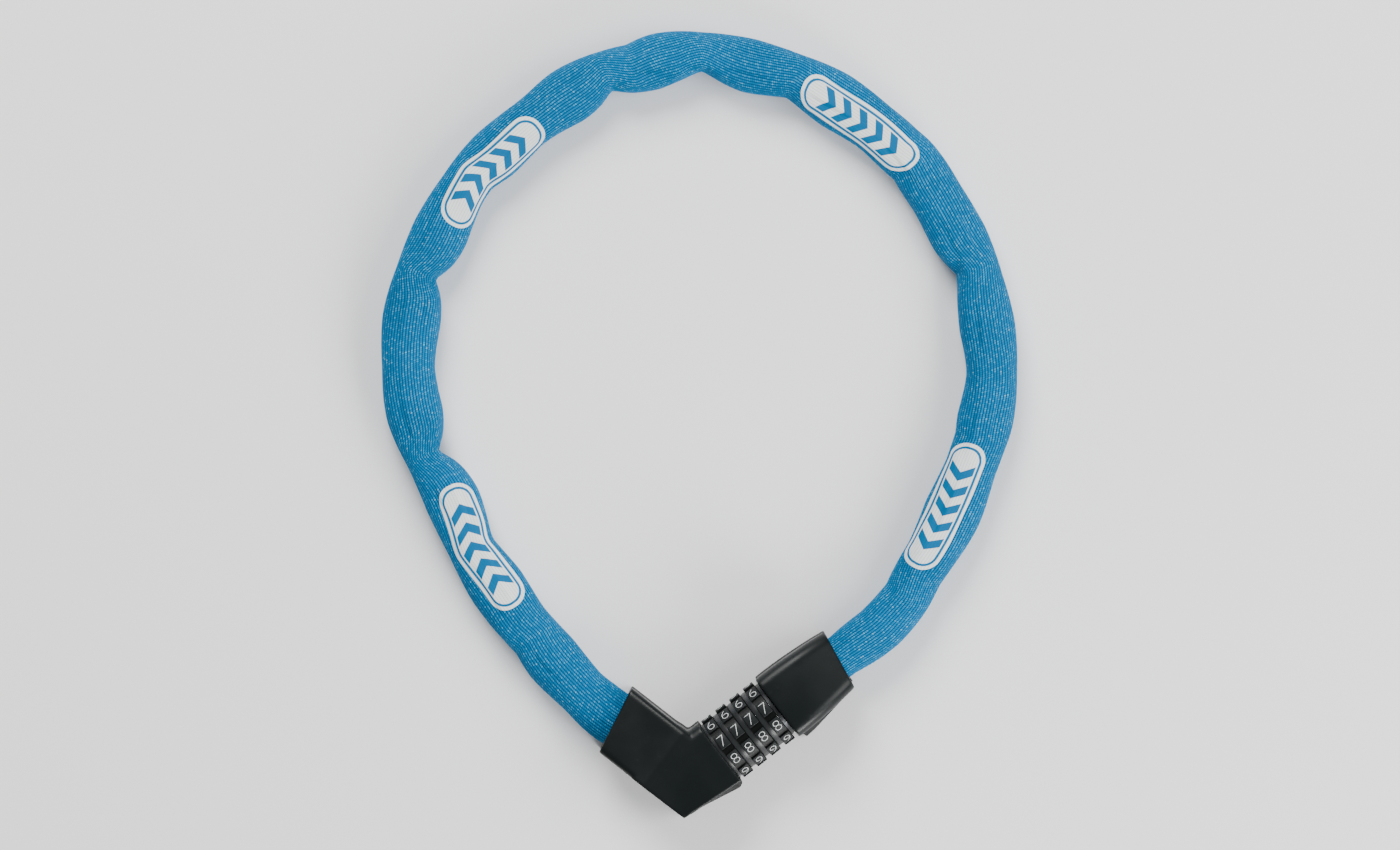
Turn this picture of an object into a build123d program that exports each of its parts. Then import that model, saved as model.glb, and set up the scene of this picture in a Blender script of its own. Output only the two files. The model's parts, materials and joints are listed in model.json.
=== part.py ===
"""Four-dial combination chain lock, lying flat and locked, with its fabric-sleeved chain in a loop.

Frame: millimetres, +Z up, z = 0 is the surface that the lock lies on, origin at the middle of its outline.
The lock axis (dials, barrel and bolt) lies in the plane z = AXIS_Z and points 37.9 degrees up from +X.
"""
from build123d import *
import math
import os

# ---- where the lock axis lies -------------------------------------------------------------------
AXIS_X, AXIS_Y, AXIS_Z = 18.3, -115.9, 14.0     # middle of the dial pack
AXIS_ANGLE = 37.9                               # degrees from +X
LOCK = Plane(origin=(AXIS_X, AXIS_Y, AXIS_Z), x_dir=(math.cos(math.radians(AXIS_ANGLE)),
             math.sin(math.radians(AXIS_ANGLE)), 0), z_dir=(0, 0, 1))

# ---- chain --------------------------------------------------------------------------------------
CHAIN_Z = 8.0                                   # height of the chain's middle
LINK_WIRE = 4.0                                 # square wire
LINK_INNER_W = 6.4
LINK_CHAMFER = 0.7                              # the wire's corners are broken
LINK_SLACK = 1.8                                # play between two links
LINK_INNER_R = 2.4
LINK_COUNT = 37                                 # odd, so that both end links lie flat on their pins
HINGE_LINKS = (3, 10, 18, 28, 35)               # links after which the chain bends, one body between
ANCHOR_PIN_R = 2.2
ANCHOR_PIN_LOW, ANCHOR_PIN_HIGH = 3.2, 17.4     # its two ends above the table
PIN_PLAY = 0.25                                 # between the pin and the end link's bow
MOUTH_CHAIN_Z = 10.8                            # height of the chain at its two anchor pins
# Middle line of the chain, from the lock's anchor round to the plug's; the loop is egg-shaped, not a circle.
ROUTE = [(-21.6, -117.4, MOUTH_CHAIN_Z), (-32.2, -112.0, 10.6), (-50, -96, 9.2), (-70, -73, CHAIN_Z),
         (-97, -24, CHAIN_Z), (-110, 10, CHAIN_Z), (-110, 40, CHAIN_Z), (-93, 85, CHAIN_Z),
         (-60, 119, CHAIN_Z), (-15, 139, CHAIN_Z), (30, 134, CHAIN_Z), (78, 103, CHAIN_Z),
         (102, 65, CHAIN_Z), (111, 21, CHAIN_Z), (105, -10, CHAIN_Z), (80, -63, 8.4), (66, -79, 9.4),
         (54, -88, 10.6), (46.2, -94.1, MOUTH_CHAIN_Z)]

# ---- fabric sleeve ------------------------------------------------------------------------------
SLEEVE_W, SLEEVE_H = 20.4, 16.0
SLEEVE_R = 6.4
SLEEVE_WALL = 0.7
SLEEVE_GAP = 2.6                                # half the gap left at each bend
LOCK_SLEEVE_INSET = 7.5                         # sleeve end's distance from the first link joint
PLUG_SLEEVE_INSET = 4.4
CLAMP_T, CLAMP_L = 0.9, 2.0                     # steel band round each sleeve end

# ---- dials --------------------------------------------------------------------------------------
DIAL_COUNT = 4
DIAL_PITCH = 6.68
DIAL_FIRST = -10.05                             # middle of the first dial's pads
PAD_L = 4.4                                     # length of the pad band
RIM_L = 2.2                                     # length of the smooth rim beside it
PAD_R, RIM_R = 13.5, 12.2
PAD_COUNT = 10
PAD_NOTCH_W, PAD_NOTCH_DEPTH = 2.6, 0.9         # square notch between two pads
DIAL_BORE_R = 9.6
DISC_R = 9.55                                   # code disc, pressed into the dial
DISC_BORE_R = 6.1
DISC_WEB_L = 3.1
DISC_HUB_R = 8.0                                # inside radius of the disc's full-length rim
GATE_W = 3.4
DETENT_R = 6.5                                  # depth of the ten detent notches in a code disc
SPRING_L, SPRING_W, SPRING_T = 5.4, 1.8, 0.25   # arched leaf spring
SPRING_SEAT_R, SPRING_TOP_R = 5.0, 6.35
PAD_AT_TOP_ANGLE = -14.5                        # degrees from straight up to the nearest pad's middle

# ---- barrel and bolt ----------------------------------------------------------------------------
BARREL_R, BARREL_BORE_R = 6.0, 4.2
BARREL_START, BARREL_END = -32.0, 13.6
KEYWAY_W = 3.4
BOLT_R = 4.0
BOLT_NOSE = -17.0
BOLT_END = 29.6
TOOTH_R, TOOTH_W, TOOTH_L = 7.5, 2.6, 2.2
COLLAR_R = 11.6

# ---- housings -----------------------------------------------------------------------------------
DIAL_END_L = -13.4                              # face of the lock housing beside the first dial
DIAL_END_R = 13.9                               # face of the plug housing beside the collar
HOUSING_H = 27.4
WALL = 2.2
SPLIT_Z = 13.6                                  # joint between upper and lower covers
FIT = 0.15                                      # play between a cover and what it holds
SCREW_R, SCREW_HEAD_R, SCREW_HEAD_T = 1.0, 1.9, 1.2
SCREW_SINK, SCREW_L = 0.6, 9.0                  # depth of the head's face in the back, and shank length
DRIVE_R = 0.95                                  # six-sided drive recess
LOCK_SCREWS = [(-20.5, 9.6), (-20.5, -9.4), (-37.0, -2.0)]      # along and across the lock axis
PLUG_SCREWS = [(20.5, 8.6), (20.5, -8.6), (33.0, -9.3)]
CROSS_PIN_R, CROSS_PIN_FOOT = 1.2, 3.0          # barrel pin and bolt pin
BARREL_PIN_AT, BARREL_PIN_L = -24.0, 21.0
BOLT_PIN_AT, BOLT_PIN_L = 21.0, 20.5
MOUTH_TOP, MOUTH_LOW = (-26.0, -99.8), (-38.4, -124.2)
ELBOW, TIP = (-6.0, -115.4), (-6.0, -148.9)
LEG_START = (-37.0, -108.4)                     # middle line of the chain leg, beyond its mouth
LEG_ANGLE = -37.2                               # its direction, degrees from +X
LEG_TO_CREASE, LEG_TO_END = 29.5, 70.0          # lengths up to the soft crease and past the elbow
LEG_HALF_W, LEG_START_H = 13.5, 19.6
LEG_EDGE_R, DIAL_LEG_EDGE_R = 2.4, 4.4
KEEL_FOOT, KEEL_H = 3.5, 11.5                   # upright foot and full height of the keel
LOCK_KEEL_FOOT = [(-39.0, -10.5), (-38.4, -12.0), (-16.2, -16.2), (-14.2, -15.2), (-14.2, -10.5)]
LOCK_KEEL_RIDGE = [(-38.0, -10.5), (-37.6, -12.4), (-16.2, -13.6), (-14.2, -13.4), (-14.2, -10.5)]
PLUG_KEEL_FOOT = [(15.7, -10.5), (15.7, -16.5), (20.5, -16.1), (39.6, -13.0), (40.6, -10.5)]
PLUG_KEEL_RIDGE = [(15.0, -10.5), (15.0, -14.0), (20.5, -13.8), (39.0, -12.5), (40.0, -10.5)]
PLUG_MOUTH_TOP, PLUG_MOUTH_LOW = (45.7, 11.8), (42.0, -12.0)    # along and across the lock axis
PLUG_SECTIONS = ((DIAL_END_R, HOUSING_H, 13.6), (24.0, 26.6, 13.5), (34.0, 24.4, 12.9), (42.0, 21.6, 12.1),
                 (48.0, 18.6, 11.1))            # place along the axis, height, half width


def at_lock(s, v, z):
    """Row position of a point given along the lock axis, across it and above the table."""
    p = LOCK.from_local_coords(Vector(s, v, z - AXIS_Z))
    return (p.X, p.Y, p.Z)


def axis_plane(s):
    """Plane across the lock axis at s, whose local X is the across direction and Y is up."""
    return Plane(origin=at_lock(s, 0, AXIS_Z), x_dir=LOCK.y_dir, z_dir=LOCK.x_dir)


def axis_tube(r_out, r_in, start, end):
    """Ring or rod around the lock axis."""
    solid = extrude(axis_plane(start) * Circle(r_out), end - start)
    if r_in:
        solid -= extrude(axis_plane(start - 1) * Circle(r_in), end - start + 2)
    return solid


def axis_box(start, end, v_low, v_high, z_low, z_high):
    """Block square to the lock axis; z counts from the table."""
    size = (end - start, v_high - v_low, z_high - z_low)
    middle = Pos((start + end) / 2, (v_low + v_high) / 2, (z_low + z_high) / 2 - AXIS_Z)
    return LOCK.location * middle * Box(*size)


def prism(points, z_low, z_high):
    """Upright prism over a closed outline."""
    face = make_face(Polyline(*[(x, y) for x, y in points], close=True))
    return Pos(0, 0, z_low) * extrude(face, z_high - z_low)


def lock_xy(s, v):
    """Row x and y of a point along and across the lock axis."""
    x, y, _ = at_lock(s, v, 0)
    return (x, y)


def dial_middle(k):
    """Middle of the pad band of dial k, along the lock axis."""
    return DIAL_FIRST + k * DIAL_PITCH


# ---- chain route --------------------------------------------------------------------------------
def route_joints():
    """The points where neighbouring links meet, evenly spaced along the route."""
    route = Spline(*ROUTE)
    pitch = route.length / LINK_COUNT
    return [route.position_at(i * pitch, position_mode=PositionMode.LENGTH) for i in range(LINK_COUNT + 1)]


JOINTS = route_joints()


def link(i):
    """One square-wire link; even links lie flat and odd ones stand upright."""
    start, end = JOINTS[i], JOINTS[i + 1]
    along = (end - start).normalized()
    inner_l = (end - start).length + LINK_SLACK
    side = along.cross(Vector(0, 0, 1)).normalized()
    normal = side.cross(along) if i % 2 == 0 else side
    plane = Plane(origin=(start + end) / 2, x_dir=along, z_dir=normal)
    outer_w = LINK_INNER_W + 2 * LINK_WIRE
    outline = RectangleRounded(inner_l + 2 * LINK_WIRE, outer_w, LINK_INNER_R + LINK_WIRE)
    hole = RectangleRounded(inner_l, LINK_INNER_W, LINK_INNER_R)
    wire = extrude(plane * (outline - hole), LINK_WIRE / 2, both=True)
    rims = [e for e in wire.edges() if abs(abs((e.center() - plane.origin).dot(normal)) - LINK_WIRE / 2) < 0.01]
    return chamfer(rims, LINK_CHAMFER)


def chain_body(i):
    """Number of the body that link i belongs to: 0 is the lock, 5 the plug."""
    return sum(1 for h in HINGE_LINKS if i >= h)


def sleeve_section(centre, along, grow):
    """Cross-section of the sleeve, square to its run."""
    plane = Plane(origin=centre, x_dir=along.cross(Vector(0, 0, 1)), z_dir=along)
    return plane * RectangleRounded(SLEEVE_W + 2 * grow, SLEEVE_H + 2 * grow, SLEEVE_R + grow)


def sleeve(body):
    """The stretch of sleeve around one body's links, open at both ends."""
    links = [i for i in range(LINK_COUNT) if chain_body(i) == body]
    points = [JOINTS[i] for i in links] + [JOINTS[links[-1] + 1]]
    along = [(b - a).normalized() for a, b in zip(points, points[1:])]
    points[0] += along[0] * (SLEEVE_GAP if body > 0 else LOCK_SLEEVE_INSET)
    points[-1] -= along[-1] * (SLEEVE_GAP if body < len(HINGE_LINKS) else PLUG_SLEEVE_INSET)
    shells = []
    for grow in (0, -SLEEVE_WALL):
        sections = []
        for j, point in enumerate(points):
            before, after = along[max(j - 1, 0)], along[min(j, len(along) - 1)]
            stretch = 0 if grow == 0 else (0.01 if j == len(points) - 1 else (-0.01 if j == 0 else 0))
            sections.append(sleeve_section(point + after * stretch, (before + after).normalized(), grow))
        shells.append(loft(sections, ruled=True))
    return shells[0] - shells[1]


# ---- lock half ----------------------------------------------------------------------------------
def lock_outline(inset):
    """Outline of the lock housing seen from above, set in by a wall."""
    points = [MOUTH_TOP, ELBOW, lock_xy(DIAL_END_L, 13.9), lock_xy(DIAL_END_L, -13.1), TIP, MOUTH_LOW]
    face = make_face(Polyline(*points, close=True))
    return offset(face, -inset, kind=Kind.INTERSECTION) if inset else face


def leg_section(plane, half_w, height, radius, inset):
    """Cross-section of a housing: flat below, round-shouldered above."""
    w, h = half_w - inset, height - inset
    face = make_face(Polyline((-w, inset), (w, inset), (w, h), (-w, h), close=True))
    face = fillet(face.vertices().group_by(Axis.Y)[-1], max(radius - inset, 0.8))
    return plane * fillet(face.vertices().group_by(Axis.Y)[0], 0.8)


def upright(x, y, along):
    """Plane across a horizontal direction, standing on the table at a plan point."""
    return Plane(origin=(x, y, 0), x_dir=Vector(0, 0, 1).cross(along), z_dir=along)


def chain_leg(inset):
    """Leg of the lock housing that takes the chain: rises to a crease, then runs level."""
    angle = math.radians(LEG_ANGLE)
    along = Vector(math.cos(angle), math.sin(angle), 0)
    sections = []
    for run, height in ((0, LEG_START_H), (LEG_TO_CREASE, HOUSING_H), (LEG_TO_END, HOUSING_H)):
        plane = upright(LEG_START[0] + run * along.X, LEG_START[1] + run * along.Y, along)
        sections.append(leg_section(plane, LEG_HALF_W, height, LEG_EDGE_R, inset))
    return loft(sections, ruled=True)


def chain_leg_roof(inset):
    """Space above the chain leg's rising roof, on its side of the crease."""
    angle = math.radians(LEG_ANGLE)
    slope = math.degrees(math.atan2(HOUSING_H - LEG_START_H, LEG_TO_CREASE))
    crease = Pos(LEG_START[0] + LEG_TO_CREASE * math.cos(angle), LEG_START[1] + LEG_TO_CREASE * math.sin(angle),
                 HOUSING_H - inset)
    return crease * Rot(0, 0, LEG_ANGLE) * Rot(0, -slope, 0) * Pos(-30, 0, 15) * Box(60, 120, 30)


def dial_leg(inset):
    """Leg of the lock housing that carries the barrel, along the lock axis."""
    sections = [leg_section(upright(*lock_xy(s, 0.4), LOCK.x_dir), 13.5, HOUSING_H, DIAL_LEG_EDGE_R, inset)
                for s in (-60, -13)]
    return loft(sections, ruled=True)


def lock_block(inset=0):
    """Outside of the lock housing (or its inside, set in by a wall): two legs that meet at an elbow."""
    outline = extrude(lock_outline(inset), HOUSING_H)
    outline = fillet(outline.edges().filter_by(Axis.Z).sort_by_distance(Vector(*ELBOW, 14))[0], 6.5)
    return (chain_leg(inset) + (dial_leg(inset) - chain_leg_roof(inset))) & outline


def chain_port(body_end, reach_in, reach_out, grow):
    """Round-cornered passage that holds the sleeve's end, along the chain at one anchor."""
    pin, along = anchor(body_end)
    start, end = pin + along * reach_in, pin + along * reach_out
    return loft([sleeve_section(start, along, grow), sleeve_section(end, along, grow)], ruled=True)


def anchor(body_end):
    """Anchor point of the chain in a housing and the direction in which the chain leaves it."""
    if body_end == "lock":
        return JOINTS[0], (JOINTS[1] - JOINTS[0]).normalized()
    return JOINTS[-1], (JOINTS[-2] - JOINTS[-1]).normalized()


def mouth(body_end, inset):
    """Opening in a housing's walls for the sleeve and for the band on its end."""
    band = chain_port(body_end, inset - 0.5, inset + CLAMP_L + 1.0, CLAMP_T + FIT)
    return band + chain_port(body_end, inset - 1.5, 26, 2 * FIT)


def clevis_slot(body_end):
    """Slot for the flat end link and the bow of the upright link beside it."""
    pin, along = anchor(body_end)
    flat = Plane(origin=pin + along * 5, x_dir=along, z_dir=(0, 0, 1))
    width = LINK_INNER_W + 2 * LINK_WIRE + 1.6
    return flat * Box(24, width, LINK_WIRE + 1.0)


def upright_rod(x, y, foot, radius, length):
    """Upright rod that starts at a given height."""
    return Pos(x, y, foot) * Cylinder(radius, length, align=(Align.CENTER, Align.CENTER, Align.MIN))


def anchor_pin(body_end):
    """Upright steel pin through the end link, its ends in the housing's core."""
    pin, along = anchor(body_end)
    centre = pin + along * (ANCHOR_PIN_R - LINK_SLACK / 2 + PIN_PLAY)
    return upright_rod(centre.X, centre.Y, ANCHOR_PIN_LOW, ANCHOR_PIN_R, ANCHOR_PIN_HIGH - ANCHOR_PIN_LOW)


def sleeve_clamp(body_end, inset):
    """Steel band that grips the sleeve's end."""
    start = inset + 0.4
    outer = chain_port(body_end, start, start + CLAMP_L, CLAMP_T)
    return outer - chain_port(body_end, start - 1, start + CLAMP_L + 1, 0)


def keel(foot_points, ridge_points):
    """Low ridge along the outer edge of a housing; its face leans in to the ridge points higher up."""
    outline = [lock_xy(s, v) for s, v in foot_points]
    ridge = [lock_xy(s, v) for s, v in ridge_points]
    foot = Pos(0, 0, KEEL_FOOT) * make_face(Polyline(*outline, close=True))
    head = Pos(0, 0, KEEL_H) * make_face(Polyline(*ridge, close=True))
    return prism(outline, 0, KEEL_FOOT) + loft([foot, head], ruled=True)


def screw_blanks(places, grow, length):
    """Countersunk screws (or their holes) that come up from the back of a housing."""
    blanks = []
    for s, v in places:
        x, y = lock_xy(s, v)
        shank = upright_rod(x, y, SCREW_SINK, SCREW_R + grow, length)
        blanks.append(shank + upright_rod(x, y, SCREW_SINK, SCREW_HEAD_R + grow, SCREW_HEAD_T))
    return blanks


def screws(places):
    """The screws of one housing, each with a six-sided drive recess."""
    made = []
    for blank, (s, v) in zip(screw_blanks(places, 0, SCREW_L), places):
        recess = extrude(RegularPolygon(DRIVE_R, 6), 0.8)
        made.append(blank - Pos(*lock_xy(s, v), SCREW_SINK - 0.1) * recess)
    return Compound(children=made)


def with_screw_holes(shell, places):
    """A lower cover with its screw holes and their counterbores."""
    for hole in screw_blanks(places, 0.1, SCREW_L + 0.1):
        shell -= hole
    for s, v in places:
        shell -= upright_rod(*lock_xy(s, v), -1, SCREW_HEAD_R + 0.1, 2)
    return shell


def upper_half():
    """Everything above the joint between the covers."""
    return Pos(0, -100, SPLIT_Z + 25) * Box(200, 200, 50)


def lower_half():
    """Everything below the joint between the covers."""
    return Pos(0, -100, SPLIT_Z - 25) * Box(200, 200, 50)


def lock_openings():
    """The chain's mouth and the round seat of the first dial's rim."""
    return mouth("lock", LOCK_SLEEVE_INSET) + axis_tube(RIM_R + 0.3, 0, -17, -10)


def lock_cover_top():
    """Upper cover of the lock housing."""
    return (lock_block() - lock_block(WALL) - lock_openings()) & upper_half()


def lock_cover_bottom():
    """Lower cover of the lock housing, with the keel and the screw holes."""
    shell = lock_block() + keel(LOCK_KEEL_FOOT, LOCK_KEEL_RIDGE) - lock_block(WALL) - lock_openings()
    return with_screw_holes(shell, LOCK_SCREWS) & lower_half()


def core(cavity, body_end, inset):
    """Die-cast core that fills a housing, with a slotted clevis for the chain's end link."""
    block = cavity - clevis_slot(body_end) - chain_port(body_end, inset - 1.0, 30, CLAMP_T + FIT)
    return block - chain_port(body_end, 6.5, 30, -1.2) - anchor_pin(body_end)


def lock_core():
    """Core of the lock housing, bored for the barrel, its pin and the screws."""
    block = core(lock_block(WALL + FIT), "lock", LOCK_SLEEVE_INSET)
    block -= axis_tube(BARREL_R, 0, BARREL_START, 0) + axis_tube(RIM_R + 0.3, 0, -14.9, 0)
    for screw in screw_blanks(LOCK_SCREWS, 0, SCREW_L):
        block -= screw
    return block - barrel_pin()


def barrel_pin():
    """Cross pin that keeps the barrel in the core."""
    return upright_rod(*lock_xy(BARREL_PIN_AT, 0), CROSS_PIN_FOOT, CROSS_PIN_R, BARREL_PIN_L)


# ---- plug half ----------------------------------------------------------------------------------
def plug_block(inset=0):
    """Outside of the plug housing (or its inside): one leg that narrows towards the chain."""
    sections = [leg_section(upright(*lock_xy(s, 0), LOCK.x_dir), half_w, height, DIAL_LEG_EDGE_R, inset)
                for s, height, half_w in PLUG_SECTIONS]
    corners = [(DIAL_END_R + inset, 20), (PLUG_MOUTH_TOP[0] + 1.3 - inset, 20),
               (PLUG_MOUTH_LOW[0] - 1.3 - inset, -20), (DIAL_END_R + inset, -20)]
    return loft(sections) & prism([lock_xy(s, v) for s, v in corners], 0, HOUSING_H)


def plug_openings():
    """The bolt's way out at the dial end and the chain's mouth."""
    return axis_tube(TOOTH_R + 1.2, 0, DIAL_END_R - 1, DIAL_END_R + 4) + mouth("plug", PLUG_SLEEVE_INSET)


def plug_cover_top():
    """Upper cover of the plug housing."""
    return (plug_block() - plug_block(WALL) - plug_openings()) & upper_half()


def plug_cover_bottom():
    """Lower cover of the plug housing, with the keel and the screw holes."""
    shell = plug_block() + keel(PLUG_KEEL_FOOT, PLUG_KEEL_RIDGE) - plug_block(WALL) - plug_openings()
    return with_screw_holes(shell, PLUG_SCREWS) & lower_half()


def plug_core():
    """Core of the plug housing, bored for the bolt, its pin and the screws."""
    block = core(plug_block(WALL + FIT), "plug", PLUG_SLEEVE_INSET)
    block -= axis_tube(BOLT_R, 0, 0, BOLT_END)
    for screw in screw_blanks(PLUG_SCREWS, 0, SCREW_L):
        block -= screw
    return block - bolt_pin()


def bolt_pin():
    """Cross pin that keeps the bolt in the plug's core."""
    return upright_rod(*lock_xy(BOLT_PIN_AT, 0), CROSS_PIN_FOOT, CROSS_PIN_R, BOLT_PIN_L)


# ---- barrel, bolt and dials ---------------------------------------------------------------------
def barrel():
    """Tube that carries the dials, with a keyway below for the bolt's teeth and seats for the springs."""
    tube = axis_tube(BARREL_R, BARREL_BORE_R, BARREL_START, BARREL_END)
    tube -= axis_box(-18.2, BARREL_END + 1, -KEYWAY_W / 2, KEYWAY_W / 2, AXIS_Z - BARREL_R - 1, AXIS_Z)
    for k in range(DIAL_COUNT):
        c = dial_middle(k)
        tube -= axis_box(c - SPRING_L / 2 - 0.1, c + SPRING_L / 2 + 0.1, -SPRING_W / 2 - 0.1,
                         SPRING_W / 2 + 0.1, AXIS_Z + SPRING_SEAT_R, AXIS_Z + BARREL_R + 1)
    return tube - barrel_pin()


def detent_spring(k):
    """Small arched leaf spring that clicks into the notches of one code disc."""
    c, low, half = dial_middle(k), SPRING_SEAT_R + 0.02, SPRING_L / 2
    profile = Plane(origin=at_lock(c, 0, AXIS_Z), x_dir=LOCK.x_dir, z_dir=-LOCK.y_dir)
    top = SPRING_TOP_R
    outer = ThreePointArc((-half, low + SPRING_T), (0, top), (half, low + SPRING_T))
    inner = ThreePointArc((half - 0.4, low), (0, top - SPRING_T), (-half + 0.4, low))
    closing = Polyline((half, low + SPRING_T), (half, low), (half - 0.4, low))
    opening = Polyline((-half + 0.4, low), (-half, low), (-half, low + SPRING_T))
    face = make_face([outer, closing, inner, opening])
    return extrude(profile * face, SPRING_W / 2, both=True)


def code_disc(k):
    """Ring with a web whose gate lets the bolt's tooth through, and ten detent notches."""
    c = dial_middle(k)
    ring = axis_tube(DISC_R, DISC_HUB_R, c - RIM_L - PAD_L / 2 + 0.3, c + PAD_L / 2 - 0.3)
    web = axis_tube(DISC_HUB_R + 0.5, DISC_BORE_R, c - DISC_WEB_L / 2, c + DISC_WEB_L / 2)
    disc = ring + web
    disc -= axis_box(c - DISC_WEB_L, c + DISC_WEB_L, -GATE_W / 2, GATE_W / 2,
                     AXIS_Z - DISC_HUB_R, AXIS_Z - BARREL_R + 1)
    for n in range(PAD_COUNT):
        if n != PAD_COUNT // 2:
            notch = Rot(n * 360 / PAD_COUNT, 0, 0) * Pos(0, 0, DETENT_R / 2) * Box(
                2 * DISC_WEB_L, SPRING_W + 0.4, DETENT_R)
            disc -= LOCK.location * Pos(c, 0, 0) * notch
    return disc


def number_dial(k):
    """Dial with ten flat-bottomed notches between its ten number pads, and a smooth rim."""
    c = dial_middle(k)
    dial = axis_tube(PAD_R, DIAL_BORE_R, c - PAD_L / 2, c + PAD_L / 2)
    dial += axis_tube(RIM_R, DIAL_BORE_R, c - PAD_L / 2 - RIM_L, c)
    for n in range(PAD_COUNT):
        turn = Rot(PAD_AT_TOP_ANGLE + (n + 0.5) * 360 / PAD_COUNT, 0, 0)
        notch = turn * Pos(0, 0, PAD_R) * Box(PAD_L + 2, PAD_NOTCH_W, 2 * PAD_NOTCH_DEPTH)
        dial -= LOCK.location * Pos(c + 1.0, 0, 0) * notch
    return dial


def end_collar():
    """Ring pressed on the barrel's end that keeps the dials in place."""
    start = dial_middle(DIAL_COUNT - 1) + PAD_L / 2 + 0.12
    collar = axis_tube(COLLAR_R, BARREL_R, start, BARREL_END)
    return collar - axis_box(start - 1, BARREL_END + 1, -KEYWAY_W / 2, KEYWAY_W / 2,
                             AXIS_Z - TOOTH_R - 0.5, AXIS_Z)


def locking_bolt():
    """Rod with four teeth that stand between the code discs' webs while the lock is shut."""
    rod = axis_tube(BOLT_R, 0, BOLT_NOSE, BOLT_END)
    nose = rod.edges().filter_by(GeomType.CIRCLE).sort_by_distance(Vector(*at_lock(BOLT_NOSE, 0, AXIS_Z)))[0]
    rod = chamfer(nose, 1.0)
    for k in range(DIAL_COUNT):
        c = dial_middle(k) - DIAL_PITCH / 2
        rod += axis_box(c - TOOTH_L / 2, c + TOOTH_L / 2, -TOOTH_W / 2, TOOTH_W / 2,
                        AXIS_Z - TOOTH_R, AXIS_Z - 2)
    return rod - bolt_pin()


def write(name, solid):
    """Write one sub-part to its STEP file."""
    export_step(solid, f"parts/{name}.step")


def group(solids):
    """Several separate solids that share one node."""
    return Compound(children=list(solids))


def main():
    """Write every sub-part."""
    os.makedirs("parts", exist_ok=True)
    write("lock_cover_top", lock_cover_top())
    write("lock_cover_bottom", lock_cover_bottom())
    write("lock_core", lock_core())
    write("lock_cover_screws", screws(LOCK_SCREWS))
    write("lock_anchor_pin", anchor_pin("lock"))
    write("lock_sleeve_clamp", sleeve_clamp("lock", LOCK_SLEEVE_INSET))
    write("barrel", barrel())
    write("barrel_pin", barrel_pin())
    write("end_collar", end_collar())
    for k in range(DIAL_COUNT):
        write(f"number_dial_{k + 1}", number_dial(k))
        write(f"code_disc_{k + 1}", code_disc(k))
        write(f"detent_spring_{k + 1}", detent_spring(k))
    write("locking_bolt", locking_bolt())
    write("bolt_pin", bolt_pin())
    write("plug_cover_top", plug_cover_top())
    write("plug_cover_bottom", plug_cover_bottom())
    write("plug_core", plug_core())
    write("plug_cover_screws", screws(PLUG_SCREWS))
    write("plug_anchor_pin", anchor_pin("plug"))
    write("plug_sleeve_clamp", sleeve_clamp("plug", PLUG_SLEEVE_INSET))
    for body in range(len(HINGE_LINKS) + 1):
        write(f"chain_links_{body}", group(link(i) for i in range(LINK_COUNT) if chain_body(i) == body))
        write(f"sleeve_{body}", sleeve(body))


if __name__ == "__main__":
    main()
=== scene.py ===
"""Looks of a four-dial combination chain lock: sleeve, woven patches, housings, dials and mechanism."""

import json
import logging
import math
from collections.abc import Callable
from dataclasses import dataclass, field
from enum import Enum

import bmesh
import bpy
import numpy as np
from mathutils import Matrix, Vector


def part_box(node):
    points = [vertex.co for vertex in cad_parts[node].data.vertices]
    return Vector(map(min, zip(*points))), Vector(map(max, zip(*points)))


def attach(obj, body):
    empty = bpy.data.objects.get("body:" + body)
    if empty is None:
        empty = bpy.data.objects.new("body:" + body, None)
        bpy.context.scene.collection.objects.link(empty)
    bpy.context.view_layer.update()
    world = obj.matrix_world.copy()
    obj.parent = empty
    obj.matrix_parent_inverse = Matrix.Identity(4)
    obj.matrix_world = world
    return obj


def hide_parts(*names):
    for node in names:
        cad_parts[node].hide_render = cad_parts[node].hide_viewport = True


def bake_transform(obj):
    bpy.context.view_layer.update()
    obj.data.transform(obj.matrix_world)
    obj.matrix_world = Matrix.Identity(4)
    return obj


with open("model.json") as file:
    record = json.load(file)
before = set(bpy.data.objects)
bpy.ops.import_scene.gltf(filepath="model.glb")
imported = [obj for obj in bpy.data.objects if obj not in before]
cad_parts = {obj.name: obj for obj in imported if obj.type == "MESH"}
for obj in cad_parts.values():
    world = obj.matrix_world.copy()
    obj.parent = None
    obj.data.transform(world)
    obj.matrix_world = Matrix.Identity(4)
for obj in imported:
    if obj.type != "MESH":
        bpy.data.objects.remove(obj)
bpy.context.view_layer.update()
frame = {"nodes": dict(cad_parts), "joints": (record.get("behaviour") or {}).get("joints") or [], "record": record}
log = logging.getLogger("chain_lock")

MM = 0.001
RIB_PITCH, STITCH_PITCH = 1.1, 0.85      # millimetres of cloth

Socket = bpy.types.NodeSocket
Colour = tuple[float, float, float]


# ---- places read from the frame -----------------------------------------------------------------
def joint_named(name: str) -> dict:
    """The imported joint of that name."""
    return next(j for j in frame["joints"] if j["name"] == name)


DIAL_JOINTS = [joint_named(f"dial_{k}_turn") for k in range(1, 5)]
AXIS = Vector(DIAL_JOINTS[0]["axis"]).normalized()


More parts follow.
